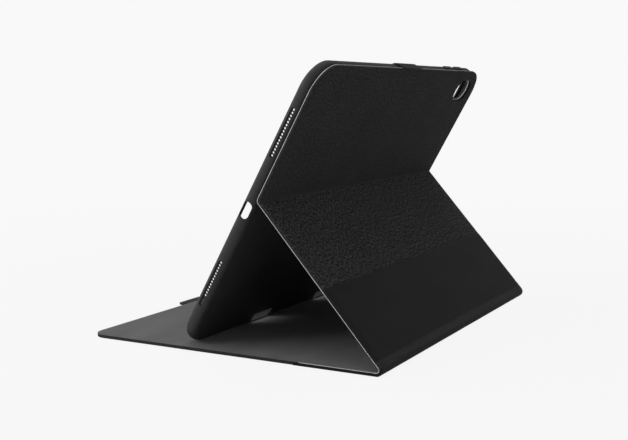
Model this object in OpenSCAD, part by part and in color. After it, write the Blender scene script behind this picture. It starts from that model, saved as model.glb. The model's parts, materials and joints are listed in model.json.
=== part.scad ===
// Folio stand case for a large tablet, standing open in its landscape viewing pose.
// A moulded tray holds the tablet. The upper half of the folio's back panel is glued to the tray,
// and the lower half folds out behind it as a kickstand that ends at the spine strip. The front
// cover lies flat on the table, lining up, and the tray's lower edge stands on it.
// X runs along the long side, +Y is the spine side, -Y is the front cover's free edge, +Z is up.

/* [Tablet] */
// Length of the tablet that the tray fits
tablet_l = 280.6; // [240:0.1:320]
// Width of the tablet
tablet_w = 214.9; // [170:0.1:240]
// Thickness of the tablet
tablet_t = 5.9; // [5.2:0.1:9]
// Corner radius of the tablet
tablet_r = 18; // [10:0.5:24]

/* [Tray] */
// Gap left round the tablet
tray_fit = 0.3; // [0.1:0.05:0.6]
// Thickness of the tray's side walls
wall_t = 1.9; // [1.7:0.1:3]
// Thickness of the tray's back
back_t = 1.5; // [1.2:0.1:2.5]
// Thickness of the lip that holds the tablet's front edge
lip_t = 1.2; // [0.8:0.1:2]
// How far the lip reaches in over the tablet's face
lip_in = 2; // [1:0.1:4]
// Rounding of the tray's outer back edge
back_round = 4.4; // [2:0.1:4.6]
// Rounding of the tray's outer front edge
front_round = 3.4; // [2:0.1:3.6]

/* [Openings] */
// Length of the charging port's cutout
port_l = 12.6; // [10:0.1:16]
// Height of the charging port's cutout
port_h = 6.6; // [5:0.1:7]
// Holes in each speaker row
speaker_holes = 16; // [8:1:18]
// Distance between speaker holes
speaker_pitch = 2.23; // [2:0.01:2.4]
// Diameter of a speaker hole
speaker_d = 1.5; // [0.8:0.1:1.6]
// Distance from the port to the middle of each speaker row
speaker_offset = 58.4; // [50:0.1:62]
// Length of the camera opening
camera_l = 28; // [20:0.5:34]
// Height of the camera opening
camera_h = 18.5; // [12:0.5:24]
// Distance from the camera opening's middle to the tray's side edge
camera_side = 26; // [22:0.5:32]
// Distance from the camera opening's middle to the tray's top edge
camera_top = 17; // [16:0.5:22]
// Length of each window in the lower edge of the tray's back
window_l = 26; // [15:0.5:40]
// Height of each window
window_h = 7; // [5:0.5:10]
// Distance of each window's middle from the tray's middle
window_offset = 48.5; // [35:0.5:80]

/* [Folio] */
// How far the folio's panels pass the tray at each side
overhang = 0.6; // [0.6:0.1:2]
// Thickness of the lining
lining_t = 0.8; // [0.6:0.1:1.2]
// Thickness of the stiffening boards
board_t = 1.4; // [1.2:0.1:2]
// Thickness of the outer skin over the boards
skin_t = 0.8; // [0.6:0.1:1.2]
// Margin from a panel's edge to its board
board_margin = 4; // [3:0.5:8]
// Width of the spine strip
spine_w = 11.5; // [10:0.5:16]
// Length of the front cover from the spine to its free edge
cover_l = 232.6; // [215:0.1:260]
// Corner radius of the front cover's free corners
cover_r = 11; // [5:0.5:20]
// Reach of the smooth band on each side of the spine corner
band_reach = 63; // [40:0.5:90]

/* [Stand pose] */
// Share of the tray's width that lies below the fold
fold_share = 0.554; // [0.5:0.002:0.6]
// How much longer the kickstand panel is than the part of the tray that it covers
flap_extra = 1.2; // [1:0.1:8]
// Angle that the tray leans back from upright
lean = 29.4; // [22:0.1:36]

/* [Closure] */
// Width of the closure tab
tab_w = 32; // [25:1:70]
// How far the closure tab reaches past the free edge
tab_reach = 12; // [8:0.5:30]
// Width of the strap over the tray's top edge
strap_w = 32; // [15:1:50]
// Distance of the tab's and the strap's middle from the case's middle
closure_x = 6; // [-30:1:30]

/* [Hidden] */

$fn = 64;
eps = 0.5;           // overshoot of a cutting solid
gap = 0.4;           // gap between a panel's end and its fold line
foot_gap = 0.3;      // gap between the tray's lower edge and the front cover

// Tray
tray_l = tablet_l + 2 * (tray_fit + wall_t);
tray_w = tablet_w + 2 * (tray_fit + wall_t);
tray_r = tablet_r + tray_fit + wall_t;
pocket_t = tablet_t + 0.2;
tray_t = back_t + pocket_t + lip_t;
pocket_reach = tray_r - wall_t;
mouth_reach = pocket_reach - tray_fit - lip_in;
side_mid_z = back_t + pocket_t / 2;

// Folio
panel_w = tray_l + 2 * overhang;
panel_t = lining_t + board_t + skin_t;
back_panel_r = tray_r + overhang;
lower_l = tray_w * fold_share;
upper_l = tray_w - lower_l;
back_panel_l = upper_l + overhang;
slope_l = lower_l + flap_extra + spine_w;

// The kickstand's angle follows from the tray's lean: the tray's lower edge has to meet the cover
foot_drop = (lower_l - back_round) * cos(lean) - (back_round + panel_t) * sin(lean) + back_round;
fold_rise = foot_drop + foot_gap;
slope_angle = asin(fold_rise / norm([slope_l, panel_t])) - atan2(panel_t, slope_l);
spine_y = (cover_l + tab_reach - panel_t) / 2;
fold_y = spine_y - slope_l * cos(slope_angle) + panel_t * sin(slope_angle);
fold_z = panel_t + fold_rise;
// Distance from the spine to the line where the tray stands on the cover
foot_reach = spine_y - fold_y + (lower_l - back_round) * sin(lean) + (back_round + panel_t) * cos(lean);

// Buttons
button_h = 3.6;
button_proud = 0.6;
button_fit = 0.3;
flange_t = 0.6;
flange_edge = 1.1;
flange_room = 0.8;
power_l = 20;
volume_l = 17;
power_inset = 25;
volume_up_inset = 40;
volume_down_inset = 62;
power_y = tablet_w / 2 - power_inset;
volume_up_x = volume_up_inset - tablet_l / 2;
volume_down_x = volume_down_inset - tablet_l / 2;

// Speaker recess
recess_t = 1.1;
recess_edge = 0.7;

// Magnets and plates
magnet_t = 1.2;
magnet_l = 20;
magnet_w = 5;
disc_d = 8;
magnet_fit = 0.2;
stand_xs = [-110, -55, 55, 110];
wake_xs = [-100, -50, 60, 100];
wake_inset = 14;
flap_xs = [-90, 90];
flap_disc_y = 30;
keeper_l = 30;
keeper_w = 10;
keeper_top = 20;
tab_t = 2;
tab_r = 4;
tab_layer_t = 0.5;
tab_disc_t = 0.8;
tab_disc_d = 6;
tab_discs = [-9, 9];
strap_t = 1.4;
strap_hold = 6;
strap_round = 1;

skin_grey = [0.11, 0.11, 0.12];
pu_black = [0.07, 0.07, 0.075];
tray_black = [0.16, 0.16, 0.165];
lining_grey = [0.42, 0.42, 0.43];
board_grey = [0.5, 0.5, 0.48];
metal_grey = [0.72, 0.73, 0.75];

// ---- Frames ----

// Panel frames: y runs away from the fold, z = 0 is the lining's face and z = panel_t the skin's
module on_cover() {
    translate([0, spine_y, panel_t]) rotate([180, 0, 0]) children();
}

module on_slope() {
    translate([0, spine_y, panel_t])
        rotate([180 - slope_angle, 0, 0])
            mirror([0, 0, 1])
                children();
}

module on_fold() {
    translate([0, fold_y, fold_z]) rotate([90 - lean, 0, 0]) children();
}

module on_back_panel() {
    on_fold() translate([0, 0, panel_t]) mirror([0, 0, 1]) children();
}

// Tray frame: its middle, with z = 0 at the outside of its back and +z towards the screen
module on_tray() {
    on_fold() translate([0, upper_l - tray_w / 2, panel_t]) children();
}

// ---- Shared shapes ----

// Strip from y0 to y1 across the case, its two corners at y1 rounded by r
module strip(y0, y1, half_w, r = 0) {
    translate([-half_w, y0]) square([2 * half_w, y1 - y0 - r]);
    if (r > 0) {
        translate([r - half_w, y1 - r - eps]) square([2 * (half_w - r), r + eps]);
        for (side = [-1, 1])
            translate([side * (half_w - r), y1 - r]) circle(r);
    }
}

// Bar of length l and height h with round ends, along x
module round_bar(l, h) {
    square([l - h, h], center = true);
    for (side = [-1, 1])
        translate([side * (l - h) / 2, 0]) circle(h / 2);
}

// Runs a profile round a rounded rectangle; the profile's x = 0 is the corner's centre
module run_round(l, w, r) {
    for (mx = [0, 1], my = [0, 1])
        mirror([mx, 0, 0]) mirror([0, my, 0])
            translate([l / 2 - r, w / 2 - r, 0])
                rotate_extrude(angle = 90) children();
    for (my = [0, 1])
        mirror([0, my, 0])
            translate([-(l / 2 - r), w / 2 - r, 0])
                rotate([90, 0, 90]) linear_extrude(l - 2 * r) children();
    for (mx = [0, 1])
        mirror([mx, 0, 0])
            translate([l / 2 - r, w / 2 - r, 0])
                rotate([90, 0, 0]) linear_extrude(w - 2 * r) children();
}

// Square corner of size r less its quarter circle, with the corner at the origin
module corner_waste(r) {
    difference() {
        square(r);
        translate([r, r]) circle(r);
    }
}

// Section of the tray's edge, solid, out to the given reach
module edge_section(reach, height, r_low, r_high) {
    difference() {
        square([reach, height]);
        translate([reach, 0]) mirror([1, 0]) corner_waste(r_low);
        translate([reach, height]) mirror([1, 0]) mirror([0, 1]) corner_waste(r_high);
    }
}

module board_pocket(y0, y1, r = 0) {
    translate([0, 0, lining_t])
        linear_extrude(board_t)
            strip(y0 + board_margin, y1 - board_margin, panel_w / 2 - board_margin, r);
}

module lining_sheet(y0, y1, r = 0) {
    color(lining_grey) linear_extrude(lining_t) strip(y0, y1, panel_w / 2, r);
}

module skin_slab(y0, y1, r = 0) {
    translate([0, 0, lining_t])
        linear_extrude(board_t + skin_t)
            strip(y0, y1, panel_w / 2, r);
}

// Magnets lie in holes cut right through their board
module bar_magnet() {
    translate([-magnet_l / 2, -magnet_w / 2, lining_t]) cube([magnet_l, magnet_w, magnet_t]);
}

module bar_magnet_hole() {
    hole_l = magnet_l + 2 * magnet_fit;
    hole_w = magnet_w + 2 * magnet_fit;
    translate([-hole_l / 2, -hole_w / 2, lining_t - eps]) cube([hole_l, hole_w, board_t + 2 * eps]);
}

module disc_magnet() {
    translate([0, 0, lining_t]) cylinder(d = disc_d, h = magnet_t);
}

module disc_magnet_hole() {
    translate([0, 0, lining_t - eps]) cylinder(d = disc_d + 2 * magnet_fit, h = board_t + 2 * eps);
}

// ---- Tray ----

module button_window(l) {
    // Through slot for the cap, and the room behind it for the flange; z points outwards
    translate([0, 0, -eps])
        linear_extrude(wall_t + 2 * eps)
            round_bar(l + 2 * button_fit, button_h + 2 * button_fit);
    translate([0, 0, -eps])
        linear_extrude(flange_room + eps)
            round_bar(l + 2 * (button_fit + flange_edge), button_h + 2 * (button_fit + flange_edge));
}

module button_cap(l) {
    color(tray_black) {
        linear_extrude(wall_t + button_proud) round_bar(l, button_h);
        linear_extrude(flange_t) round_bar(l + 2 * flange_edge, button_h + 2 * flange_edge);
    }
}

// Places a button: its origin on the pocket's wall, z outwards, x along the wall
module at_power() {
    on_tray()
        translate([wall_t - tray_l / 2, power_y, side_mid_z])
            rotate([0, -90, 0]) rotate([0, 0, 90]) children();
}

module at_volume(x) {
    on_tray() translate([x, tray_w / 2 - wall_t, side_mid_z]) rotate([-90, 0, 0]) children();
}

module camera_cut() {
    translate([camera_side - tray_l / 2, tray_w / 2 - camera_top, -panel_t - eps])
        linear_extrude(panel_t + back_t + 2 * eps)
            round_bar(camera_l, camera_h);
}

module speaker_row() {
    row_l = speaker_pitch * (speaker_holes - 1);
    translate([0, 0, wall_t - recess_t])
        linear_extrude(recess_t + eps)
            round_bar(row_l + speaker_d + 2 * recess_edge, speaker_d + 2 * recess_edge);
    for (i = [0:speaker_holes - 1])
        translate([i * speaker_pitch - row_l / 2, 0, -eps])
            cylinder(d = speaker_d, h = wall_t + eps, $fn = 24);
}

// Cuts in a short side: the port if there is one, and two speaker rows
module side_cuts(has_port) {
    translate([tray_l / 2 - wall_t, 0, side_mid_z]) rotate([90, 0, 90]) {
        if (has_port)
            translate([0, 0, -eps]) linear_extrude(wall_t + 2 * eps) round_bar(port_l, port_h);
        for (side = [-1, 1])
            translate([side * speaker_offset, 0, 0]) speaker_row();
    }
}

module tray_body() {
    run_round(tray_l, tray_w, tray_r)
        difference() {
            edge_section(tray_r, tray_t, back_round, front_round);
            translate([-eps, back_t]) square([pocket_reach + eps, pocket_t]);
            translate([-eps, back_t]) square([mouth_reach + eps, tray_t]);
        }
    translate([tray_r - tray_l / 2, tray_r - tray_w / 2, 0])
        cube([tray_l - 2 * tray_r, tray_w - 2 * tray_r, back_t]);
}

module tray_shell() {
    color(tray_black) difference() {
        on_tray() difference() {
            tray_body();
            camera_cut();
            side_cuts(true);
            mirror([1, 0, 0]) side_cuts(false);
            for (side = [-1, 1])
                translate([side * window_offset - window_l / 2, wall_t + eps - tray_w / 2, -eps])
                    cube([window_l, window_h, back_t + 2 * eps]);
        }
        at_power() button_window(power_l);
        at_volume(volume_up_x) button_window(volume_l);
        at_volume(volume_down_x) button_window(volume_l);
    }
}

module power_button() at_power() button_cap(power_l);

module volume_up_button() at_volume(volume_up_x) button_cap(volume_l);

module volume_down_button() at_volume(volume_down_x) button_cap(volume_l);

// Flat strap glued over the tray's top edge, from the back panel's end to the front rim
module top_strap() {
    edge_y = tray_w / 2 - tray_r;
    color(pu_black)
        on_tray()
            translate([closure_x - strap_w / 2, 0, 0])
                rotate([90, 0, 90])
                    linear_extrude(strap_w)
                        difference() {
                            translate([edge_y, -panel_t])
                                edge_section(
                                    tray_r + strap_t, tray_t + panel_t, strap_round, front_round + strap_t
                                );
                            translate([edge_y, 0]) edge_section(tray_r, tray_t, back_round, front_round);
                            translate([edge_y, -panel_t]) square([tray_r + overhang, panel_t]);
                            translate([edge_y - eps, -panel_t - eps])
                                square([tray_r - strap_hold + eps, tray_t + panel_t + 2 * eps]);
                        }
}

// ---- Back panel, glued to the tray above the fold ----

// Camera opening through the back panel, wider all round by the given margin
module back_cut(margin = 0) {
    translate([camera_side - tray_l / 2, upper_l - camera_top, -eps])
        linear_extrude(panel_t + 2 * eps)
            round_bar(camera_l + 2 * margin, camera_h + 2 * margin);
}

module at_keeper() {
    translate([closure_x, upper_l - keeper_top, lining_t]) children();
}

module back_panel_lining() {
    on_back_panel() difference() {
        lining_sheet(gap, back_panel_l, back_panel_r);
        back_cut();
    }
}

module back_panel_board_solid() {
    difference() {
        board_pocket(gap, back_panel_l, back_panel_r - board_margin);
        back_cut(board_margin);
    }
}

module back_panel_board() {
    color(board_grey) on_back_panel() difference() {
        back_panel_board_solid();
        at_keeper() translate([-keeper_l / 2 - magnet_fit, -keeper_w / 2 - magnet_fit, -eps])
            cube([keeper_l + 2 * magnet_fit, keeper_w + 2 * magnet_fit, board_t + 2 * eps]);
    }
}

module tab_keeper_plate() {
    color(metal_grey) on_back_panel() at_keeper()
        translate([-keeper_l / 2, -keeper_w / 2, 0]) cube([keeper_l, keeper_w, magnet_t]);
}

module back_panel_fabric() {
    color(skin_grey) on_back_panel() difference() {
        skin_slab(gap, back_panel_l, back_panel_r);
        back_panel_board_solid();
        back_cut();
    }
}

// ---- Kickstand panel ----

flap_y0 = spine_w + gap;
flap_y1 = slope_l - gap;

module at_flap_magnets() {
    for (x = flap_xs)
        translate([x, flap_y1 - flap_disc_y, 0]) children();
}

module flap_lining() on_slope() lining_sheet(flap_y0, flap_y1);

module flap_board() {
    color(board_grey) on_slope() difference() {
        board_pocket(flap_y0, flap_y1);
        at_flap_magnets() disc_magnet_hole();
    }
}

module flap_magnets() {
    color(metal_grey) on_slope() at_flap_magnets() disc_magnet();
}

module flap_fabric() {
    color(skin_grey) on_slope() difference() {
        skin_slab(band_reach, flap_y1);
        board_pocket(flap_y0, flap_y1);
    }
}

module flap_pu_band() {
    color(pu_black) on_slope() difference() {
        skin_slab(flap_y0, band_reach);
        board_pocket(flap_y0, flap_y1);
    }
}

// ---- Spine strip ----

spine_y0 = panel_t + gap;
spine_y1 = spine_w - gap;
spine_board_margin = 1.5;

module spine_pocket() {
    translate([0, 0, lining_t])
        linear_extrude(board_t)
            strip(spine_y0, spine_y1 - spine_board_margin, panel_w / 2 - board_margin);
}

module spine_lining() on_slope() lining_sheet(spine_y0, spine_y1);

module spine_board() {
    color(board_grey) on_slope() spine_pocket();
}

// Skin of the strip, with the round bend that it makes about the hinge line at the cover
module spine_pu_band() {
    color(pu_black) {
        on_slope() difference() {
            skin_slab(spine_y0, spine_y1);
            spine_pocket();
        }
        on_slope() difference() {
            translate([-panel_w / 2, 0, 0]) rotate([0, 90, 0]) cylinder(r = panel_t, h = panel_w);
            translate([-panel_w / 2 - eps, 0, -panel_t - eps])
                cube([panel_w + 2 * eps, panel_t + eps, 2 * (panel_t + eps)]);
        }
        on_slope() translate([-panel_w / 2, 0, 0]) cube([panel_w, spine_y0, panel_t]);
    }
}

// ---- Front cover ----

cover_y0 = panel_t + gap;

module at_stand_magnets() {
    for (x = stand_xs)
        translate([x, foot_reach, 0]) children();
}

module at_wake_magnets() {
    for (x = wake_xs)
        translate([x, cover_l - wake_inset, 0]) children();
}

module cover_pocket() board_pocket(cover_y0, cover_l, cover_r - board_margin);

module cover_lining() on_cover() lining_sheet(cover_y0, cover_l, cover_r);

module cover_board() {
    color(board_grey) on_cover() difference() {
        cover_pocket();
        at_stand_magnets() bar_magnet_hole();
        at_wake_magnets() disc_magnet_hole();
    }
}

module cover_fabric() {
    color(skin_grey) on_cover() difference() {
        skin_slab(band_reach, cover_l, cover_r);
        cover_pocket();
    }
}

module cover_pu_band() {
    color(pu_black) on_cover() difference() {
        skin_slab(cover_y0, band_reach);
        cover_pocket();
    }
}

module stand_magnets() {
    color(metal_grey) on_cover() at_stand_magnets() bar_magnet();
}

module wake_magnets() {
    color(metal_grey) on_cover() at_wake_magnets() disc_magnet();
}

// ---- Closure tab on the free edge ----

// Tab frame: y runs out from the free edge and z up from the table
module on_tab() {
    translate([closure_x, spine_y - cover_l, 0]) rotate([0, 0, 180]) children();
}

module tab_pocket() {
    translate([0, tab_reach / 2, tab_layer_t])
        for (x = tab_discs)
            translate([x, 0, 0]) cylinder(d = tab_disc_d, h = tab_disc_t);
}

module tab_skin() {
    color(pu_black) on_tab() difference() {
        linear_extrude(tab_t - tab_layer_t) strip(gap, tab_reach, tab_w / 2, tab_r);
        tab_pocket();
    }
}

module tab_lining() {
    color(lining_grey) on_tab()
        translate([0, 0, tab_t - tab_layer_t])
            linear_extrude(tab_layer_t)
                strip(gap, tab_reach, tab_w / 2, tab_r);
}

module tab_magnets() {
    color(metal_grey) on_tab() tab_pocket();
}

tray_shell();
back_panel_lining();
back_panel_board();
back_panel_fabric();
tab_keeper_plate();
top_strap();
power_button();
volume_up_button();
volume_down_button();
flap_lining();
flap_board();
flap_fabric();
flap_pu_band();
flap_magnets();
spine_lining();
spine_board();
spine_pu_band();
cover_lining();
cover_board();
cover_fabric();
cover_pu_band();
stand_magnets();
wake_magnets();
tab_skin();
tab_lining();
tab_magnets();
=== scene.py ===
"""Looks for the tablet case: folio sheets that bend at the folds, materials, studio, camera."""

import json
import math

import bmesh
import bpy
import numpy as np
from mathutils import Matrix, Vector
from mathutils.geometry import delaunay_2d_cdt


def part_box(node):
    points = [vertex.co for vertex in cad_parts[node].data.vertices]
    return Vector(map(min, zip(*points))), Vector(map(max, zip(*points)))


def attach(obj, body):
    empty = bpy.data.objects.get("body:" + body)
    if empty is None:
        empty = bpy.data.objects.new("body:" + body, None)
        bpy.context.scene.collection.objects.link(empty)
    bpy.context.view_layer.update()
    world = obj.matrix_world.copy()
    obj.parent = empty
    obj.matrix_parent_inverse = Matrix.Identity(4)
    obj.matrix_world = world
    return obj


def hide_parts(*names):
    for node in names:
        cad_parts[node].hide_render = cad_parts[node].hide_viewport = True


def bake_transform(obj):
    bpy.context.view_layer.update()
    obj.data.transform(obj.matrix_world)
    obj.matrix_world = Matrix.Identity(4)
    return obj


MM = 0.001
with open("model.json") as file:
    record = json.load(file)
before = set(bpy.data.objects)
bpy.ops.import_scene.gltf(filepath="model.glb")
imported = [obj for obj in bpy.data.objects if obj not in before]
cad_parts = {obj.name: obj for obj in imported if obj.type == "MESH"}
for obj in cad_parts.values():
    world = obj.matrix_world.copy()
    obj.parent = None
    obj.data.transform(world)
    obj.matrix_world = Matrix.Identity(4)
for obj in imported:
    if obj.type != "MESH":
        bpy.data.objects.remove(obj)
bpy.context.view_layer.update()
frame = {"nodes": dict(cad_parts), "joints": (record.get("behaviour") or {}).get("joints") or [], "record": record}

# ---------------------------------------------------------------- sizes from the frame

joints = {j["name"]: j for j in frame["joints"]}
mounts = {m["name"]: m for m in frame["record"]["mounts"]}


def yz(v):
    """The part of a point or direction that lies in the folio's section."""
    return np.array([v[1], v[2]], float)


def joint_at(name):
    return yz(joints[name]["pos_m"])


def node_points(name):
    """A CAD node's vertices in the section plane."""
    return np.array([v.co for v in frame["nodes"][name].data.vertices], float)[:, 1:]


SPINE, CREASE = joint_at("spine_fold"), joint_at("kickstand_crease")
FOLD, EDGE = joint_at("stand_fold"), joint_at("tab_fold")
PANEL_T = SPINE[1]
# The visible lining is pressed a little thinner than its CAD solid
LINING_T = 0.8 * (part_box("cover_lining")[1].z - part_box("cover_lining")[0].z)
SKIN_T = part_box("cover_board")[0].z
HALF_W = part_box("cover_fabric")[1].x
BOARD_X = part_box("cover_board")[1].x
COVER_L = SPINE[0] - EDGE[0]

# Unit vectors in the YZ plane: out of the tray's pocket and up its back, out of and up the kickstand
TRAY_N = yz(mounts["tablet_seat"]["axis"])
TRAY_UP = np.array([TRAY_N[1], -TRAY_N[0]])
rise = FOLD - SPINE
SLOPE_L = math.sqrt(rise @ rise - PANEL_T**2)
slope_angle = math.atan2(rise[1], -rise[0]) - math.atan2(PANEL_T, SLOPE_L)
SLOPE_UP = np.array([-math.cos(slope_angle), math.sin(slope_angle)])
SLOPE_N = np.array([math.sin(slope_angle), math.cos(slope_angle)])
CREASE_W = float((CREASE - SPINE) @ SLOPE_UP)
BACK_L = (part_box("back_panel_lining")[1].z - FOLD[1] - PANEL_T * TRAY_N[1]) / TRAY_UP[1]
OVERHANG = HALF_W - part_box("tray_shell")[1].x

# Camera opening, as in the CAD part: size, and its middle from the tray's side and top
CAMERA_L, CAMERA_H = 28 * MM, 18.5 * MM
CAMERA_SIDE, CAMERA_TOP = 26 * MM, 17 * MM
CAMERA_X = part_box("tray_shell")[0].x + CAMERA_SIDE
CAMERA_Q = BACK_L - OVERHANG - CAMERA_TOP

# Panel corners, the boards' distance from the panels' edges, the smooth band's reach from the spine
BACK_R, COVER_R = 20.8 * MM, 11 * MM
BOARD_MARGIN = 4 * MM
BAND_REACH = SPINE[0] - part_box("cover_pu_band")[0].y

# ---------------------------------------------------------------- the folio's folded section

# Inner radii of the spine fold and of the fold at the kickstand's top
SPINE_ROUND, FOLD_ROUND = 1.5 * MM, 0.8 * MM
spine_turn = math.pi - slope_angle
fold_turn = math.acos(float(np.clip(-(SLOPE_N @ TRAY_N), -1, 1)))
spine_cut = SPINE_ROUND * math.tan(spine_turn / 2)
fold_cut = FOLD_ROUND * math.tan(fold_turn / 2)
SPINE_U0 = -spine_cut
SPINE_U1 = SPINE_U0 + (SPINE_ROUND + PANEL_T) * spine_turn
FOLD_U0 = SPINE_U1 + SLOPE_L - spine_cut - fold_cut
FOLD_U1 = FOLD_U0 + (FOLD_ROUND + PANEL_T) * fold_turn


def u_slope(w):
    """Strip position of a point w up the kickstand from the spine hinge."""
    return SPINE_U1 + w - spine_cut


def u_back(q):
    """Strip position of a point q up the back panel from the fold."""
    return FOLD_U1 + q - fold_cut


TOP_U = u_back(BACK_L)


def folio(x, u, t):
    """Points of the folio at rest: x across, u along the strip, t from the lining's face to the skin's."""
    spine_c = SPINE + np.array([-spine_cut, SPINE_ROUND])
    fold_c = FOLD + fold_cut * TRAY_UP - FOLD_ROUND * TRAY_N
    out = np.zeros((len(u), 2))
    flat = u <= SPINE_U0
    out[flat] = np.stack([SPINE[0] + u[flat], SPINE[1] - t[flat]], 1)
    arc = (u > SPINE_U0) & (u < SPINE_U1)
    phi = -math.pi / 2 + (u[arc] - SPINE_U0) / (SPINE_U1 - SPINE_U0) * spine_turn
    out[arc] = spine_c + (SPINE_ROUND + t[arc])[:, None] * np.stack([np.cos(phi), np.sin(phi)], 1)
    slope = (u >= SPINE_U1) & (u <= FOLD_U0)
    w = u[slope] - SPINE_U1 + spine_cut
    out[slope] = SPINE + w[:, None] * SLOPE_UP + t[slope][:, None] * SLOPE_N
    arc = (u > FOLD_U0) & (u < FOLD_U1)
    start = math.atan2(-SLOPE_N[1], -SLOPE_N[0]) % (2 * math.pi)
    phi = start - (u[arc] - FOLD_U0) / (FOLD_U1 - FOLD_U0) * fold_turn
    radius = FOLD_ROUND + PANEL_T - t[arc]
    out[arc] = fold_c + radius[:, None] * np.stack([np.cos(phi), np.sin(phi)], 1)
    back = u >= FOLD_U1
    q = u[back] - FOLD_U1 + fold_cut
    out[back] = FOLD + q[:, None] * TRAY_UP + (PANEL_T - t[back])[:, None] * TRAY_N
    return np.column_stack([x, out])


def board_span(name, origin, along, to_u):
    """A board's half width and its two ends on the strip."""
    reach = (node_points(name) - origin) @ along
    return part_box(name)[1].x, to_u(reach.min()), to_u(reach.max())


# Where the boards lie on the strip, from the CAD nodes themselves
BOARDS = {
    "cover_board": board_span("cover_board", SPINE, np.array([1.0, 0.0]), lambda v: v),
    "spine_board": board_span("spine_board", SPINE, SLOPE_UP, u_slope),
    "flap_board": board_span("flap_board", SPINE, SLOPE_UP, u_slope),
    "back_panel_board": board_span("back_panel_board", FOLD, TRAY_UP, u_back),
}
BOARD_FIT = 0.1 * MM

# How deep and over what width a skin sinks past a board's edge, how uneven it is, and its crease
SINK, SINK_EDGE, RIPPLE = 0.14 * MM, 1.3 * MM, 0.05 * MM
CREASE_DIP, CREASE_HALF = 0.22 * MM, 0.7 * MM


def relief(x, u):
    """How far a skin lies below its flat height: sunk between the boards, slightly uneven on them."""
    gap = np.full(len(x), 1.0)
    for half, low, high in BOARDS.values():
        dx = np.maximum(np.abs(x) - half, 0)
        du = np.maximum(np.maximum(low - u, u - high), 0)
        gap = np.minimum(gap, np.hypot(dx, du))
    share = np.clip(gap / SINK_EDGE, 0, 1)
    sunk = SINK * share * share * (3 - 2 * share)
    sunk += CREASE_DIP * np.exp(-(((u - u_slope(CREASE_W)) / CREASE_HALF) ** 2))
    # Slow waves, in radians per metre, that don't repeat together
    wave = np.sin(47 * x + 1.3) * np.sin(61 * u + 0.4) + np.sin(113 * x - 89 * u + 2.1)
    return sunk + RIPPLE * (1 + wave / 2) / 2


# ---------------------------------------------------------------- flat patterns

# Mesh spacing on the flats, least row distance, and points round a corner or across a rounded rim
COLUMN, ROW = 5 * MM, 5 * MM
LEAST_ROW = 0.08 * MM
CORNER_STEPS, HOLE_STEPS, RIM_STEPS = 14, 20, 3
SHARP_ANGLE = math.radians(35)


def spread(low, high, step):
    """Evenly spaced values from low to high, about step apart, with both ends."""
    return list(np.linspace(low, high, max(2, int(round((high - low) / step)) + 1)))


def rows_between(u0, u1):
    """Row positions: coarse on the flats, close at the folds, the crease and the boards' ends."""
    close = [
        (SPINE_U0 - 8 * MM, SPINE_U0, 0.8 * MM),
        (SPINE_U0, SPINE_U1, 0.35 * MM),
        (SPINE_U1, u_slope(CREASE_W) + 5 * MM, 0.6 * MM),
        (FOLD_U0 - 5 * MM, FOLD_U0, 0.7 * MM),
        (FOLD_U0, FOLD_U1, 0.3 * MM),
        (FOLD_U1, FOLD_U1 + 5 * MM, 0.7 * MM),
    ]
    for _, low, high in BOARDS.values():
        close += [(low - SINK_EDGE, low, SINK_EDGE / 3), (high, high + SINK_EDGE, SINK_EDGE / 3)]
    marks = set(spread(u0, u1, ROW))
    for low, high, step in close:
        marks |= {v for v in spread(low, high, step) if u0 < v < u1}
    kept = []
    for v in sorted(marks):
        if not kept or v - kept[-1] > LEAST_ROW:
            kept.append(v)
    kept[-1] = u1
    return kept


def columns():
    """Column positions: even, with close ones where the skin sinks past the boards' sides."""
    marks = set(spread(-HALF_W, HALF_W, COLUMN))
    for side in (-1, 1):
        marks |= {side * v for v in spread(BOARD_X, BOARD_X + SINK_EDGE, SINK_EDGE / 3)}
    return sorted(marks)


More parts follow.
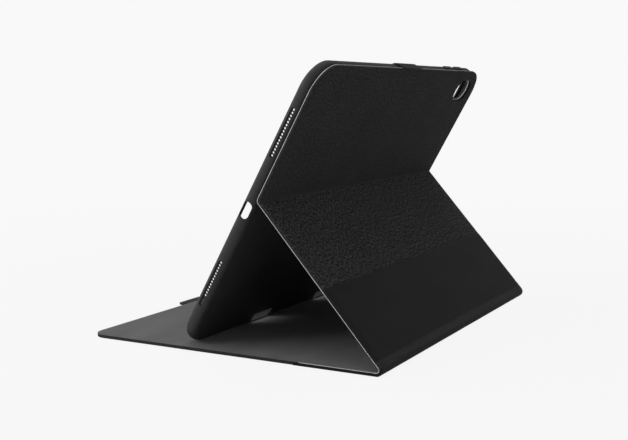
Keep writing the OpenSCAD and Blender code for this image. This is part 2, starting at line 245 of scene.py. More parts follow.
class Pattern:
    """A flat piece: a strip from u0 to u1 with round corners at one end, and holes.
    Ends are -1 for u0 and 1 for u1; an open end meets another piece and keeps a square rim."""

    def __init__(self, u0, u1, radius=0.0, round_end=0, open_ends=(), holes=(), half=HALF_W, x0=0.0,
                 rows=None, cols=None):
        self.x0, self.half = x0, half
        self.rows = rows or rows_between(u0, u1)
        self.cols = cols or columns()
        self.u0, self.u1, self.holes = u0, u1, list(holes)
        self.outline = self._outline(radius, round_end, open_ends)

    def _outline(self, radius, round_end, open_ends):
        """Points (x, u) with the inward direction that a rounded rim is set back along."""
        x1, u0, u1 = self.half, self.u0, self.u1
        low_r = radius if round_end == -1 else 0
        high_r = radius if round_end == 1 else 0
        left, right = (1, 0), (-1, 0)
        low = (0, 0) if -1 in open_ends else (0, 1)
        high = (0, 0) if 1 in open_ends else (0, -1)
        clear = LEAST_ROW / 2
        across = [v for v in self.cols if abs(v) < x1 - 0.05 * MM]
        along = [v for v in self.rows if u0 + low_r + clear < v < u1 - high_r - clear]
        pts = []

        def line(points, normal):
            for x, u in points:
                pts.append((x, u, *normal))

        def corner(side, end, r, start, normals):
            """A corner at x = side * x1, round by r from the angle start, or square where r is 0."""
            u = u0 if end < 0 else u1
            if r == 0:
                (nx0, nu0), (nx1, nu1) = normals
                pts.append((side * x1, u, nx0 + nx1, nu0 + nu1))
                return
            cx, cu = side * (x1 - r), u - end * r
            for i in range(CORNER_STEPS + 1):
                a = start + i / CORNER_STEPS * math.pi / 2
                pts.append((cx + r * math.cos(a), cu + r * math.sin(a), -math.cos(a), -math.sin(a)))

        corner(-1, -1, low_r, math.pi, (left, low))
        line([(v, u0) for v in across if abs(v) < x1 - low_r], low)
        corner(1, -1, low_r, -math.pi / 2, (low, right))
        line([(x1, v) for v in along], right)
        corner(1, 1, high_r, 0, (right, high))
        line([(v, u1) for v in reversed(across) if abs(v) < x1 - high_r], high)
        corner(-1, 1, high_r, math.pi / 2, (high, left))
        line([(-x1, v) for v in reversed(along)], left)
        ring = np.array(pts, float)
        ring[:, 0] += self.x0
        return ring

    def grid(self):
        """The points that the flat faces are filled with."""
        x, u = np.meshgrid(np.array(self.cols) + self.x0, self.rows)
        return np.column_stack([x.ravel(), u.ravel()])


def stadium(cx, cu, length, height, grow=0.0):
    """Closed ring (x, u, inward x, inward u) round a stadium hole, clockwise, inward into the sheet."""
    r = height / 2 + grow
    off = (length - height) / 2
    pts = []
    for side, a0 in ((1, math.pi / 2), (-1, -math.pi / 2)):
        for i in range(HOLE_STEPS + 1):
            a = a0 - i / HOLE_STEPS * math.pi
            pts.append((cx + side * off + r * math.cos(a), cu + r * math.sin(a), math.cos(a), math.sin(a)))
    return np.array(pts, float)


def inside(points, ring):
    """Which points lie in a closed ring, by counting the edges to their right."""
    x, y = points[:, 0][:, None], points[:, 1][:, None]
    x0, y0 = ring[:, 0], ring[:, 1]
    x1, y1 = np.roll(x0, -1), np.roll(y0, -1)
    crosses = (y0 > y) != (y1 > y)
    with np.errstate(divide="ignore", invalid="ignore"):
        at = (x1 - x0) * (y - y0) / (y1 - y0) + x0
    return (np.sum(crosses & (x < at), axis=1) % 2) == 1


def fill(outer, holes, grid, clear=0.25 * MM):
    """Triangles of the region inside outer and outside holes, with the grid's points in it."""
    rings = [outer[:, :2]] + [h[:, :2] for h in holes]
    keep = inside(grid, rings[0])
    for h in rings[1:]:
        keep &= ~inside(grid, h)
    near = np.concatenate(rings)
    free = []
    for p in grid[keep]:
        if np.min(np.sum((near - p) ** 2, axis=1)) > clear**2:
            free.append(p)
    coords = np.concatenate([near, np.array(free).reshape(-1, 2)])
    edges, at = [], 0
    for r in rings:
        edges += [(at + i, at + (i + 1) % len(r)) for i in range(len(r))]
        at += len(r)
    scaled = [Vector((float(p[0]) / MM, float(p[1]) / MM)) for p in coords]
    verts, _, faces, *_ = delaunay_2d_cdt(scaled, edges, [], 0, 1e-6)
    flat = np.array([(v.x * MM, v.y * MM) for v in verts])
    tris = np.array([f for f in faces if len(f) == 3])
    middle = flat[tris].mean(axis=1)
    good = inside(middle, rings[0])
    for h in rings[1:]:
        good &= ~inside(middle, h)
    return flat, tris[good]


class Sheet:
    """Collects the faces of one closed sheet piece in pattern coordinates."""

    def __init__(self, name, placer):
        self.name, self.placer = name, placer
        self.points, self.faces, self.slots = [], [], []

    def add(self, pts, faces, slot):
        base = sum(len(p) for p in self.points)
        self.points.append(np.asarray(pts, float))
        self.faces += [tuple(base + i for i in f) for f in faces]
        self.slots += [slot] * len(faces)

    def wall(self, ring_a, ring_b, slot, covered_below=None):
        """Quads between two rings; those below a strip position can take the next slot."""
        n = len(ring_a)
        quads = [(i, (i + 1) % n, n + (i + 1) % n, n + i) for i in range(n)]
        self.add(np.concatenate([ring_a, ring_b]), quads, slot)
        if covered_below is not None:
            for i in range(n):
                if ring_a[i, 1] < covered_below or ring_a[(i + 1) % n, 1] < covered_below:
                    self.slots[i - n] = slot + 1

    def build(self, materials):
        """Place the points, weld the faces into one closed mesh and keep the pattern as its UV."""
        pts = np.concatenate(self.points)
        world = self.placer(pts[:, 0], pts[:, 1], pts[:, 2])
        mesh = bpy.data.meshes.new(self.name)
        mesh.from_pydata(world.tolist(), [], self.faces)
        for m in materials:
            mesh.materials.append(m)
        mesh.polygons.foreach_set("material_index", self.slots)
        layer = mesh.uv_layers.new(name="pattern")
        loop_verts = np.zeros(len(mesh.loops), np.int32)
        mesh.loops.foreach_get("vertex_index", loop_verts)
        layer.data.foreach_set("uv", pts[loop_verts][:, :2].astype(np.float32).ravel())
        work = bmesh.new()
        work.from_mesh(mesh)
        bmesh.ops.remove_doubles(work, verts=work.verts, dist=0.002 * MM)
        bmesh.ops.recalc_face_normals(work, faces=work.faces)
        work.to_mesh(mesh)
        work.free()
        mesh.shade_smooth()
        mesh.set_sharp_from_angle(angle=SHARP_ANGLE)
        piece = bpy.data.objects.new(self.name, mesh)
        bpy.context.collection.objects.link(piece)
        return piece


def ring_at(ring, inset, t):
    """Ring points (x, u, t), set in from the outline by inset."""
    return np.column_stack([ring[:, :2] + inset * ring[:, 2:4], np.full(len(ring), t)])


def make_sheet(name, pattern, t_free, t_glued, edge, materials, recesses=(), placer=folio, uneven=relief,
               hole_edge=None, covered_below=None):
    """A sheet from t_glued to its free face at t_free, whose outer rim is rounded by edge.
    recesses are (outline, islands, depth t): pockets sunk into the glued side. The materials are the
    free face's, the rim's and a third one for the holes' rims or for a rim that another sheet covers."""
    sheet = Sheet(name, placer)
    way = 1 if t_free > t_glued else -1
    rings = [pattern.outline, *pattern.holes]
    edges = [edge] + [hole_edge or edge] * len(pattern.holes)
    for ring, size in zip(rings, edges):
        levels = [(0.0, t_glued)]
        for i in range(RIM_STEPS + 1):
            a = i / RIM_STEPS * math.pi / 2
            levels.append((size * (1 - math.cos(a)), t_free - way * size * (1 - math.sin(a))))
        for i, (low, high) in enumerate(zip(levels, levels[1:])):
            a, b = ring_at(ring, *low), ring_at(ring, *high)
            b[:, 2] -= way * uneven(b[:, 0], b[:, 1])
            if i:
                a[:, 2] -= way * uneven(a[:, 0], a[:, 1])
            in_hole = hole_edge is not None and ring is not pattern.outline
            slot = 2 if in_hole else int(i == 0)
            sheet.wall(a, b, slot, covered_below if slot == 1 else None)
    inset = [ring_at(r, size, 0) for r, size in zip(rings, edges)]
    flat, tris = fill(inset[0], inset[1:], pattern.grid())
    t = t_free - way * uneven(flat[:, 0], flat[:, 1])
    sheet.add(np.column_stack([flat, t]), tris.tolist(), 0)
    flat, tris = fill(rings[0], rings[1:] + [r[0] for r in recesses], pattern.grid())
    sheet.add(np.column_stack([flat, np.full(len(flat), t_glued)]), tris.tolist(), 1)
    for outline, islands, depth in recesses:
        for ring in (outline, *islands):
            sheet.wall(ring_at(ring, 0, t_glued), ring_at(ring, 0, depth), 1)
        flat, tris = fill(outline, islands, pattern.grid())
        sheet.add(np.column_stack([flat, np.full(len(flat), depth)]), tris.tolist(), 1)
        for ring in islands:
            flat, tris = fill(ring, pattern.holes, pattern.grid())
            sheet.add(np.column_stack([flat, np.full(len(flat), t_glued)]), tris.tolist(), 1)
    return sheet.build(materials)


def pocket(name, low=None, high=None, radius=0.0, round_end=0):
    """Outline of the pocket that a board lies in, cut to the part between low and high."""
    half, u0, u1 = BOARDS[name]
    u0 = u0 - BOARD_FIT if low is None else low
    u1 = u1 + BOARD_FIT if high is None else high
    flat = Pattern(u0, u1, radius, round_end, half=half + BOARD_FIT)
    return flat.outline


# ---------------------------------------------------------------- node materials


class Shader:
    """Small helper that adds linked nodes to a material."""

    def __init__(self, name):
        self.material = bpy.data.materials.new(name)
        self.material.use_nodes = True
        self.tree = self.material.node_tree
        self.bsdf = next(n for n in self.tree.nodes if n.type == "BSDF_PRINCIPLED")

    def add(self, kind, inputs=(), out=0, **props):
        node = self.tree.nodes.new(kind)
        for k, v in props.items():
            setattr(node, k, v)
        for k, v in dict(inputs).items():
            self.set(node, k, v)
        return node.outputs[out]

    def set(self, node, key, value):
        if isinstance(value, bpy.types.NodeSocket):
            self.tree.links.new(value, node.inputs[key])
        else:
            node.inputs[key].default_value = value

    def math(self, op, a, b=0.0, c=0.0):
        return self.add("ShaderNodeMath", {0: a, 1: b, 2: c}, operation=op)

    def weighted(self, *terms):
        """Sum of the terms, each (value, weight)."""
        total = None
        for value, weight in terms:
            term = self.math("MULTIPLY", value, weight)
            total = term if total is None else self.math("ADD", total, term)
        return total

    def parts(self, vector):
        """The x, y and z sockets of a vector."""
        node = self.tree.nodes.new("ShaderNodeSeparateXYZ")
        self.set(node, 0, vector)
        return node.outputs

    def vector(self, op, inputs):
        return self.add("ShaderNodeVectorMath", inputs, operation=op)

    def uv(self):
        return self.add("ShaderNodeUVMap", uv_map="pattern")

    def place(self):
        return self.add("ShaderNodeTexCoord", out=3)

    def scaled(self, vector, scale, shift=(0, 0, 0)):
        return self.add("ShaderNodeMapping", {"Vector": vector, "Scale": scale, "Location": shift})

    def noise(self, vector, scale, detail=3.0, rough=0.55, out=0):
        return self.add("ShaderNodeTexNoise",
                        {"Vector": vector, "Scale": scale, "Detail": detail, "Roughness": rough}, out)

    def ramp(self, value, low, high, to_low=0.0, to_high=1.0):
        return self.add("ShaderNodeMapRange", {0: value, 1: low, 2: high, 3: to_low, 4: to_high})

    def between(self, value, low, high):
        """A number between two others, by value from 0 to 1."""
        return self.add("ShaderNodeMix", {0: value, 2: low, 3: high}, 0)

    def colour(self, value, low, high):
        """Colour between a linear RGB value or colour socket and another, by value from 0 to 1."""
        ends = [c if isinstance(c, bpy.types.NodeSocket) else (*c, 1) for c in (low, high)]
        return self.add("ShaderNodeMix", {0: value, 6: ends[0], 7: ends[1]}, 2, data_type="RGBA")

    def bump(self, height, distance, strength=1.0):
        return self.add("ShaderNodeBump", {"Height": height, "Distance": distance, "Strength": strength})

    def finish(self, colour, rough, normal, **fixed):
        """Link the main inputs, set the constant ones on the shader and give the material."""
        self.set(self.bsdf, "Base Color", colour)
        self.set(self.bsdf, "Roughness", rough)
        self.set(self.bsdf, "Normal", normal)
        for k, v in fixed.items():
            self.bsdf.inputs[k.replace("_", " ")].default_value = v
        return self.material


def woven(name, low, high, pitch=0.62 * MM):
    """Plain weave of slightly uneven threads; the pattern's UV is in metres."""
    s = Shader(name)
    uv = s.uv()
    drift = s.vector("SUBTRACT", {0: s.noise(uv, 900.0, 2.0, out=1), 1: (0.5, 0.5, 0.5)})
    drift = s.vector("SCALE", {0: drift, 3: 0.42 * pitch})
    at = s.parts(s.vector("ADD", {0: uv, 1: drift}))
    across, along = (s.math("SINE", s.math("MULTIPLY", at[i], math.pi / pitch)) for i in (0, 1))
    over = s.math("GREATER_THAN", s.math("MULTIPLY", across, along), 0.0)
    a, b = s.math("ABSOLUTE", across), s.math("ABSOLUTE", along)
    warp = s.math("MULTIPLY", a, s.math("MULTIPLY_ADD", b, 0.6, 0.4))
    weft = s.math("MULTIPLY", b, s.math("MULTIPLY_ADD", a, 0.6, 0.4))
    height = s.between(over, warp, weft)

    # Thick places along the threads, broad clouds, single fibres and the mottling of the yarn
    slub_x = s.noise(s.scaled(uv, (260.0, 1500.0, 1.0)), 1.0, 2.0)
    slub_y = s.noise(s.scaled(uv, (1500.0, 260.0, 1.0), (7, 3, 0)), 1.0, 2.0)
    slub = s.between(over, slub_y, slub_x)
    cloud = s.noise(uv, 38.0, 4.0)
    fibre = s.noise(uv, 5200.0, 2.0)
    grain = s.noise(uv, 560.0, 3.0, 0.75)
    fleck = s.weighted((s.ramp(slub, 0.38, 0.66), 0.35), (s.ramp(grain, 0.42, 0.62), 0.65))

    # Painted shade: past the fold, on the back panel, the flecks are calmed and the fabric is painted darker,
    # standing in for the different shading of that panel, which faces another way; on the kickstand the flecks
    # stay strong
    back_panel_painted_shade = s.ramp(at[1], FOLD_U0, FOLD_U1, 0.0, 0.72)
    fleck = s.between(back_panel_painted_shade, s.ramp(fleck, 0.2, 0.9), 0.13)
    tone = s.math("MULTIPLY", s.ramp(height, 0.0, 1.0, 0.35, 1.0), s.ramp(fleck, 0.0, 1.0, 0.05, 1.8))
    tone = s.math("MULTIPLY", tone, s.ramp(cloud, 0.3, 0.7, 0.82, 1.08))
    threads = s.weighted((height, 0.7), (fibre, 0.18), (slub, 0.35))
    return s.finish(s.colour(tone, low, high), s.ramp(fibre, 0.2, 0.8, 0.82, 0.97),
                    s.bump(threads, 0.13 * MM, 0.8),
                    Specular_IOR_Level=0.1, Sheen_Weight=0.03, Sheen_Roughness=0.55)


# Painted highlight: a lighter strip of the smooth band beside the spine fold, standing in for the light caught
# where the band bends; its ends on the strip, fade and colour
HIGHLIGHT_FROM, HIGHLIGHT_TO, HIGHLIGHT_FADE = SPINE_U1 - 2.5 * MM, SPINE_U1 + 4.5 * MM, 2 * MM
HIGHLIGHT_TONE = (0.03, 0.03, 0.031)


def coated(name, low, high, rough_low=0.5, rough_high=0.56, mapped=True):
    """Smooth coated sheet with a fine pebbled grain, and a painted highlight along the spine fold where it is
    mapped.
    """
    s = Shader(name)
    uv = s.uv() if mapped else s.place()
    cell = s.add("ShaderNodeTexVoronoi", {"Vector": uv, "Scale": 2300.0, "Randomness": 0.95}, 0)
    fine = s.noise(uv, 6500.0, 2.0)
    broad = s.noise(uv, 22.0, 4.0)
    rub = s.noise(s.scaled(uv, (14.0, 50.0, 14.0)), 1.0, 4.0)
    colour = s.colour(s.ramp(broad, 0.3, 0.7), low, high)
    if mapped:
        # Painted highlight: a lighter, streaky strip across the band beside the spine fold
        along = s.parts(uv)[1]
        rise_in = s.ramp(along, HIGHLIGHT_FROM, HIGHLIGHT_FROM + HIGHLIGHT_FADE)
        fall_off = s.ramp(along, HIGHLIGHT_TO - HIGHLIGHT_FADE, HIGHLIGHT_TO, 1.0, 0.0)
        streak = s.noise(s.scaled(uv, (90.0, 700.0, 1.0)), 1.0, 4.0, 0.7)
        painted_highlight = s.math("MULTIPLY", s.math("MULTIPLY", rise_in, fall_off), s.ramp(streak, 0.3, 0.6, 0.35, 1.15))
        colour = s.colour(painted_highlight, colour, HIGHLIGHT_TONE)
    rough = s.ramp(s.weighted((rub, 0.6), (broad, 0.4)), 0.35, 0.65, rough_low, rough_high)
    pebbles = s.bump(s.weighted((cell, 0.8), (fine, 0.25)), 0.035 * MM, 0.6)
    return s.finish(colour, rough, pebbles, Specular_IOR_Level=0.16)


def moulded(name, low, high):
    """Matte moulded elastomer: fine spark-eroded texture with faint handling marks."""
    s = Shader(name)
    at = s.place()
    spark = s.noise(at, 4200.0, 3.0, 0.7)
    pit = s.add("ShaderNodeTexVoronoi", {"Vector": at, "Scale": 3000.0}, 0)
    flow = s.noise(at, 16.0, 5.0)
    marks = s.noise(s.scaled(at, (30.0, 140.0, 90.0)), 1.0, 4.0, 0.6)
    rough = s.ramp(s.weighted((marks, 0.55), (spark, 0.45)), 0.35, 0.65, 0.5, 0.66)
    return s.finish(s.colour(s.ramp(flow, 0.3, 0.7), low, high), rough,
                    s.bump(s.weighted((spark, 1.0), (pit, 0.4)), 0.03 * MM, 0.7), Specular_IOR_Level=0.42)


def napped(name, low, high):
    """Short-napped microfibre with brushed patches."""
    s = Shader(name)
    uv = s.uv()
    brushed = s.noise(s.scaled(uv, (18.0, 42.0, 1.0)), 1.0, 5.0, 0.6)
    nap = s.noise(s.scaled(uv, (2600.0, 900.0, 1.0)), 1.0, 3.0, 0.65)
    speck = s.noise(uv, 3800.0, 2.0)
    tone = s.weighted((s.ramp(brushed, 0.3, 0.7), 0.45), (s.ramp(nap, 0.3, 0.7), 0.35),
                      (s.ramp(speck, 0.3, 0.7), 0.2))
    return s.finish(s.colour(tone, low, high), s.ramp(brushed, 0.3, 0.7, 0.9, 0.98),
                    s.bump(s.weighted((nap, 0.8), (speck, 0.5)), 0.08 * MM, 0.7),
                    Specular_IOR_Level=0.2, Sheen_Weight=0.12, Sheen_Roughness=0.5)


def cut_edge(name, low, high):
    """Cut edge of a felted sheet: fine fibres over slower changes of tone."""
    s = Shader(name)
    uv = s.uv()
    fibre = s.noise(s.scaled(uv, (1800.0, 1800.0, 1800.0)), 1.0, 3.0, 0.7)
    drawn = s.noise(uv, 140.0, 4.0)
    tone = s.weighted((s.ramp(fibre, 0.3, 0.7), 0.55), (s.ramp(drawn, 0.35, 0.65), 0.45))
    rough = s.ramp(fibre, 0.3, 0.7, 0.8, 0.95)
    return s.finish(s.colour(tone, low, high), rough, s.bump(fibre, 0.06 * MM, 0.8), Specular_IOR_Level=0.3)


def pressed_board(name):
    """Grey pressed fibre board."""
    s = Shader(name)
    at = s.place()
    chips = s.add("ShaderNodeTexVoronoi", {"Vector": s.scaled(at, (500.0, 900.0, 900.0)), "Scale": 1.0}, 1)
    chip_tone = s.add("ShaderNodeRGBToBW", {0: chips})
    fibre = s.noise(s.scaled(at, (400.0, 2400.0, 2400.0)), 1.0, 4.0)
    tone = s.weighted((chip_tone, 0.4), (fibre, 0.6))
    rough = s.ramp(fibre, 0.3, 0.7, 0.78, 0.92)
    return s.finish(s.colour(tone, (0.22, 0.2, 0.18), (0.42, 0.39, 0.35)), rough,
                    s.bump(fibre, 0.08 * MM, 0.8), Specular_IOR_Level=0.3)


def plated(name):
    """Nickel-plated, brushed steel."""
    s = Shader(name)
    at = s.place()
    brush = s.noise(s.scaled(at, (120.0, 5200.0, 5200.0)), 1.0, 4.0, 0.6)
    stain = s.noise(at, 160.0, 3.0)
    rough = s.ramp(s.weighted((brush, 0.6), (stain, 0.4)), 0.35, 0.65, 0.22, 0.42)
    return s.finish(s.colour(stain, (0.55, 0.55, 0.56), (0.7, 0.69, 0.67)), rough,
                    s.bump(brush, 0.012 * MM, 0.6), Metallic=1.0)


FABRIC = woven("woven_fabric", (0.004, 0.004, 0.0042), (0.085, 0.085, 0.088))
FABRIC_RIM = cut_edge("fabric_turned_edge", (0.012, 0.012, 0.0125), (0.032, 0.032, 0.034))
HOLE_RIM = coated("hole_pressed_edge", (0.003, 0.003, 0.003), (0.005, 0.005, 0.005), 0.5, 0.6)
PU = coated("smooth_skin", (0.0076, 0.0076, 0.008), (0.0112, 0.0112, 0.012))
PU_STRAP = coated("strap_skin", (0.0085, 0.0085, 0.009), (0.0125, 0.0125, 0.0135), mapped=False)
TRAY = moulded("moulded_tray", (0.022, 0.022, 0.0235), (0.031, 0.031, 0.033))
BUTTON = moulded("moulded_button", (0.019, 0.019, 0.02), (0.026, 0.026, 0.028))
LINING = napped("microfibre_lining", (0.075, 0.075, 0.078), (0.16, 0.16, 0.165))
LINING_EDGE = cut_edge("lining_cut_edge", (0.5, 0.5, 0.51), (0.82, 0.82, 0.83))
BOARD = pressed_board("fibre_board")
STEEL = plated("plated_steel")

# ---------------------------------------------------------------- the folio's pieces

# Strip positions where one sheet ends and the next begins
SPLIT_SPINE = u_slope((PANEL_T + CREASE_W) / 2)
SPLIT_LINING = u_slope(40 * MM)
BAND_SLOPE = u_slope(BAND_REACH)
BAND_COVER = -BAND_REACH

# Depths from the lining's face: the boards' pockets, and the fabric, which lies below the smooth band
POCKET_T = PANEL_T - SKIN_T + 0.05 * MM
FABRIC_T = PANEL_T - 0.2 * MM
EDGE_ROUND, HOLE_ROUND, LINING_ROUND = 0.45 * MM, 1.2 * MM, 0.12 * MM
POCKET_GAP = 0.01 * MM


def bend_at_fold(piece):
    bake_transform(piece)


def bend_at_crease(piece):
    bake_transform(piece)


def bend_at_spine(piece):
    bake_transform(piece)


camera_hole = stadium(CAMERA_X, u_back(CAMERA_Q), CAMERA_L, CAMERA_H)
camera_island = stadium(CAMERA_X, u_back(CAMERA_Q), CAMERA_L, CAMERA_H, grow=BOARD_MARGIN - BOARD_FIT)
camera_island = camera_island[::-1] * np.array([1, 1, -1, -1])
back_pocket_r = BACK_R - BOARD_MARGIN + BOARD_FIT
cover_pocket_r = COVER_R - BOARD_MARGIN + BOARD_FIT

panel_fabric = make_sheet(
    "back_and_flap_fabric",
    Pattern(BAND_SLOPE, TOP_U, BACK_R, 1, open_ends=(-1,), holes=[camera_hole]),
    FABRIC_T, LINING_T, EDGE_ROUND, [FABRIC, FABRIC_RIM, HOLE_RIM], hole_edge=HOLE_ROUND,
    recesses=[
        (pocket("flap_board", low=BAND_SLOPE + POCKET_GAP), [], POCKET_T),
        (pocket("back_panel_board", radius=back_pocket_r, round_end=1), [camera_island], POCKET_T),
    ],
)
bend_at_fold(panel_fabric)
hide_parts("back_panel_fabric", "flap_fabric")

flap_band = make_sheet(
    "flap_smooth_band",
    Pattern(SPLIT_SPINE, BAND_SLOPE, open_ends=(-1, 1)),
    PANEL_T, LINING_T, EDGE_ROUND, [PU, PU],
    recesses=[
        (pocket("spine_board", low=SPLIT_SPINE + POCKET_GAP), [], POCKET_T),
        (pocket("flap_board", high=BAND_SLOPE - POCKET_GAP), [], POCKET_T),
    ],
)
bend_at_crease(flap_band)
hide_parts("flap_pu_band")

spine_band = make_sheet(
    "spine_smooth_band",
    Pattern(BAND_COVER, SPLIT_SPINE, open_ends=(-1, 1)),
    PANEL_T, LINING_T, EDGE_ROUND, [PU, PU],
    recesses=[
        (pocket("cover_board", low=BAND_COVER + POCKET_GAP), [], POCKET_T),
        (pocket("spine_board", high=SPLIT_SPINE - POCKET_GAP), [], POCKET_T),
    ],
)
bend_at_spine(spine_band)
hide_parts("spine_pu_band", "cover_pu_band")

cover_fabric = make_sheet(
    "front_cover_fabric",
    Pattern(-COVER_L, BAND_COVER, COVER_R, -1, open_ends=(1,)),
    FABRIC_T, LINING_T, EDGE_ROUND, [FABRIC, FABRIC_RIM],
    recesses=[
        (pocket("cover_board", high=BAND_COVER - POCKET_GAP, radius=cover_pocket_r, round_end=-1),
         [], POCKET_T),
    ],
)
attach(cover_fabric, "front_cover")
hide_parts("cover_fabric")

back_lining = make_sheet(
    "back_and_flap_lining",
    Pattern(SPLIT_LINING, TOP_U, BACK_R, 1, open_ends=(-1,), holes=[camera_hole]),
    0.0, LINING_T, LINING_ROUND, [LINING, LINING_EDGE],
)
bend_at_fold(back_lining)
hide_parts("back_panel_lining", "flap_lining")

spine_lining = make_sheet(
    "crease_lining",
    Pattern(SPLIT_SPINE, SPLIT_LINING, open_ends=(-1, 1)),
    0.0, LINING_T, LINING_ROUND, [LINING, LINING_EDGE],
)
bend_at_crease(spine_lining)
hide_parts("spine_lining")

cover_lining = make_sheet(
    "front_cover_lining",
    Pattern(-COVER_L, SPLIT_SPINE, COVER_R, -1, open_ends=(1,)),
    0.0, LINING_T, LINING_ROUND, [LINING, LINING_EDGE, FABRIC_RIM], covered_below=BAND_COVER,
)
bend_at_spine(cover_lining)
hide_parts("cover_lining")

# ---------------------------------------------------------------- closure tab

tab_lo, tab_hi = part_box("tab_skin")
TAB_X, TAB_HALF = (tab_lo.x + tab_hi.x) / 2, (tab_hi.x - tab_lo.x) / 2
TAB_REACH = EDGE[0] - tab_lo.y
TAB_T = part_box("tab_lining")[1].z
TAB_LAYER = TAB_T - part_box("tab_lining")[0].z
TAB_ROOT, TAB_CORNER, TAB_BEND = 1.6 * MM, 4 * MM, 4.5 * MM
TAB_THINNING, TAB_LIFT = 0.28, 0.12


def tab_place(x, u, t):
    """Tab points: u out from the free edge, t up from the table; the tab thins towards its tip."""
    share = np.clip(u / TAB_REACH, 0, 1)
    thin = 1 - TAB_THINNING * share**2
    lift = TAB_LIFT * TAB_T * share
    return np.column_stack([x, EDGE[0] - u, lift + t * thin])


def tab_relief(x, u):
    """The tab's faces are slightly uneven."""
    return 0.04 * MM * (1 + np.sin(310 * x) * np.sin(420 * u))


tab_rows = spread(-TAB_ROOT, TAB_REACH, 0.5 * MM)
tab_cols = spread(-TAB_HALF, TAB_HALF, 1.5 * MM)
for tab_name, node, slot, t_free, tab_edge in (
    ("closure_tab_skin", "tab_skin", "smooth_skin", 0.0, 0.3 * MM),
    ("closure_tab_lining", "tab_lining", "lining", TAB_T, 0.1 * MM),
):
    tab = make_sheet(
        tab_name,
        Pattern(-TAB_ROOT, TAB_REACH, TAB_CORNER, 1, open_ends=(-1,), half=TAB_HALF, x0=TAB_X,
                rows=tab_rows, cols=tab_cols),
        t_free, TAB_T - TAB_LAYER, tab_edge, [PU, PU],
        placer=tab_place, uneven=tab_relief,
    )
    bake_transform(tab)
    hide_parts(node)

# ---------------------------------------------------------------- CAD nodes kept, with their looks

# Node: (material, edge softening in mm)
KEPT = {
    "tray_shell": (TRAY, 0.0),
    "top_strap": (PU_STRAP, 0.25),
    "power_button": (BUTTON, 0.3),
    "volume_up_button": (BUTTON, 0.3),
    "volume_down_button": (BUTTON, 0.3),
    "back_panel_board": (BOARD, 0.0),
    "flap_board": (BOARD, 0.0),
    "spine_board": (BOARD, 0.0),
    "cover_board": (BOARD, 0.0),
    "tab_keeper_plate": (STEEL, 0.1),
    "flap_magnets": (STEEL, 0.1),
    "stand_magnets": (STEEL, 0.1),
    "wake_magnets": (STEEL, 0.1),
    "tab_magnets": (STEEL, 0.1),
}
for node, (look, bevel) in KEPT.items():
    piece = frame["nodes"][node]
    for i in range(len(piece.data.materials)):
        piece.data.materials[i] = look
    if not piece.data.materials:
        piece.data.materials.append(look)
    if bevel:
        weld = piece.modifiers.new("weld", "WELD")
        weld.merge_threshold = 0.001 * MM
        soften = piece.modifiers.new("soften", "BEVEL")
        soften.width = bevel * MM
        soften.segments = 3
        soften.limit_method = "ANGLE"
        soften.angle_limit = math.radians(40)

# ---------------------------------------------------------------- studio and camera

bpy.context.scene.view_settings.view_transform = "Standard"
WHITE = (0.945, 0.945, 0.945, 1)
AMBIENT = 0.3

# The camera sees a pale backdrop, and the object is lit by a dimmer, even surround
world = bpy.data.worlds.new("studio")
bpy.context.scene.world = world
world.use_nodes = True
tree = world.node_tree
tree.nodes.clear()
out = tree.nodes.new("ShaderNodeOutputWorld")
path = tree.nodes.new("ShaderNodeLightPath")
seen, cast = tree.nodes.new("ShaderNodeBackground"), tree.nodes.new("ShaderNodeBackground")
seen.inputs[0].default_value = WHITE
cast.inputs[0].default_value = (1, 1, 1, 1)
cast.inputs[1].default_value = AMBIENT
mix = tree.nodes.new("ShaderNodeMixShader")
tree.links.new(path.outputs["Is Camera Ray"], mix.inputs[0])
tree.links.new(cast.outputs[0], mix.inputs[1])
tree.links.new(seen.outputs[0], mix.inputs[2])
tree.links.new(mix.outputs[0], out.inputs[0])

# Distances from the middle between which the floor fades into the backdrop, and the share at the first
FADE_FROM, FADE_TO, FADE_LEAST = 0.3, 1.0, 0.95
FLOOR_R, FLOOR_DROP = 12, 0.05 * MM


def floor_material():
    """Pale floor whose light shadows fade into the backdrop; it lights the object as a plain floor."""
    s = Shader("pale_floor")
    distance = s.add("ShaderNodeVectorMath", {0: s.place()}, "Value", operation="LENGTH")
    fade = s.ramp(distance, FADE_FROM, FADE_TO, FADE_LEAST, 1.0)
    glow = s.add("ShaderNodeEmission", {"Color": WHITE, "Strength": 1.0})
    s.set(s.bsdf, "Base Color", (0.85, 0.85, 0.85, 1))
    s.set(s.bsdf, "Roughness", 0.8)
    s.set(s.bsdf, "Specular IOR Level", 0.1)
    plain = s.bsdf.outputs[0]
    seen_floor = s.add("ShaderNodeMixShader", {0: fade, 1: plain, 2: glow})
    is_seen = s.add("ShaderNodeLightPath")
    shown = s.add("ShaderNodeMixShader", {0: is_seen, 1: plain, 2: seen_floor})
    output = next(n for n in s.tree.nodes if n.type == "OUTPUT_MATERIAL")
    s.tree.links.new(shown, output.inputs[0])
    return s.material


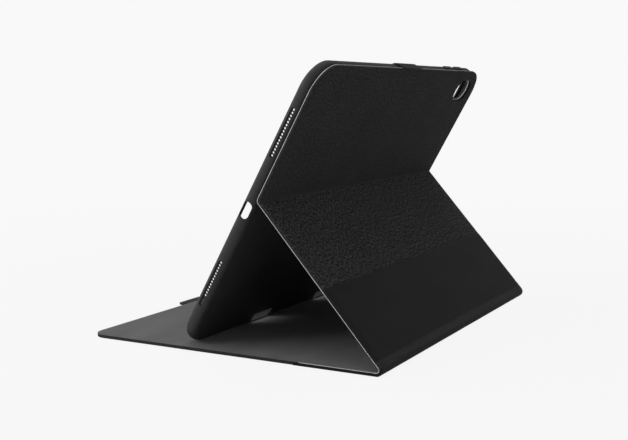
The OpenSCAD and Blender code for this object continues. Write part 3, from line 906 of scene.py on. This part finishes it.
bpy.ops.mesh.primitive_circle_add(vertices=96, radius=FLOOR_R, fill_type="NGON",
                                  location=(0, 0, -FLOOR_DROP))
floor = bpy.context.object
floor.name = "floor"
floor.data.materials.append(floor_material())


def softbox(name, at, aim, size, power):
    """A rectangular area light of the given size in metres and power in watts."""
    light = bpy.data.lights.new(name, "AREA")
    light.shape, light.size, light.size_y, light.energy = "RECTANGLE", size[0], size[1], power
    lamp = bpy.data.objects.new(name, light)
    bpy.context.collection.objects.link(lamp)
    lamp.location = at
    lamp.rotation_euler = (Vector(aim) - Vector(at)).to_track_quat("-Z", "Y").to_euler()


softbox("key", (1.3, -1.7, 1.2), (0, -0.02, 0.06), (2.2, 1.6), 30)
softbox("top", (-0.3, -0.5, 2.2), (0, -0.05, 0.05), (2.0, 1.6), 15)
softbox("rear", (1.2, 1.9, 1.3), (0, 0.05, 0.08), (1.4, 1.2), 4)

# The camera's place, its turn from -X towards -Y, its tilt, its roll and its lens in mm
CAMERA_AT = Vector((0.6928, 0.3782, 0.1739))
CAMERA_YAW, CAMERA_PITCH, CAMERA_ROLL = (math.radians(a) for a in (28.93, -7.07, -0.4))
SENSOR_W, LENS = 36, 57.7
look_at = Vector((-math.cos(CAMERA_PITCH) * math.cos(CAMERA_YAW),
                  -math.cos(CAMERA_PITCH) * math.sin(CAMERA_YAW), math.sin(CAMERA_PITCH)))
right = look_at.cross(Vector((0, 0, 1))).normalized()
up = right.cross(look_at)
turned_right = right * math.cos(CAMERA_ROLL) + up * math.sin(CAMERA_ROLL)
turned_up = up * math.cos(CAMERA_ROLL) - right * math.sin(CAMERA_ROLL)
cam_data = bpy.data.cameras.new("camera")
cam_data.sensor_width = SENSOR_W
cam_data.lens = LENS
cam_data.clip_start, cam_data.clip_end = 0.01, 50
camera = bpy.data.objects.new("camera", cam_data)
bpy.context.collection.objects.link(camera)
camera.matrix_world = Matrix.Translation(CAMERA_AT) @ Matrix(
    (turned_right, turned_up, -look_at)).transposed().to_4x4()
bpy.context.scene.camera = camera
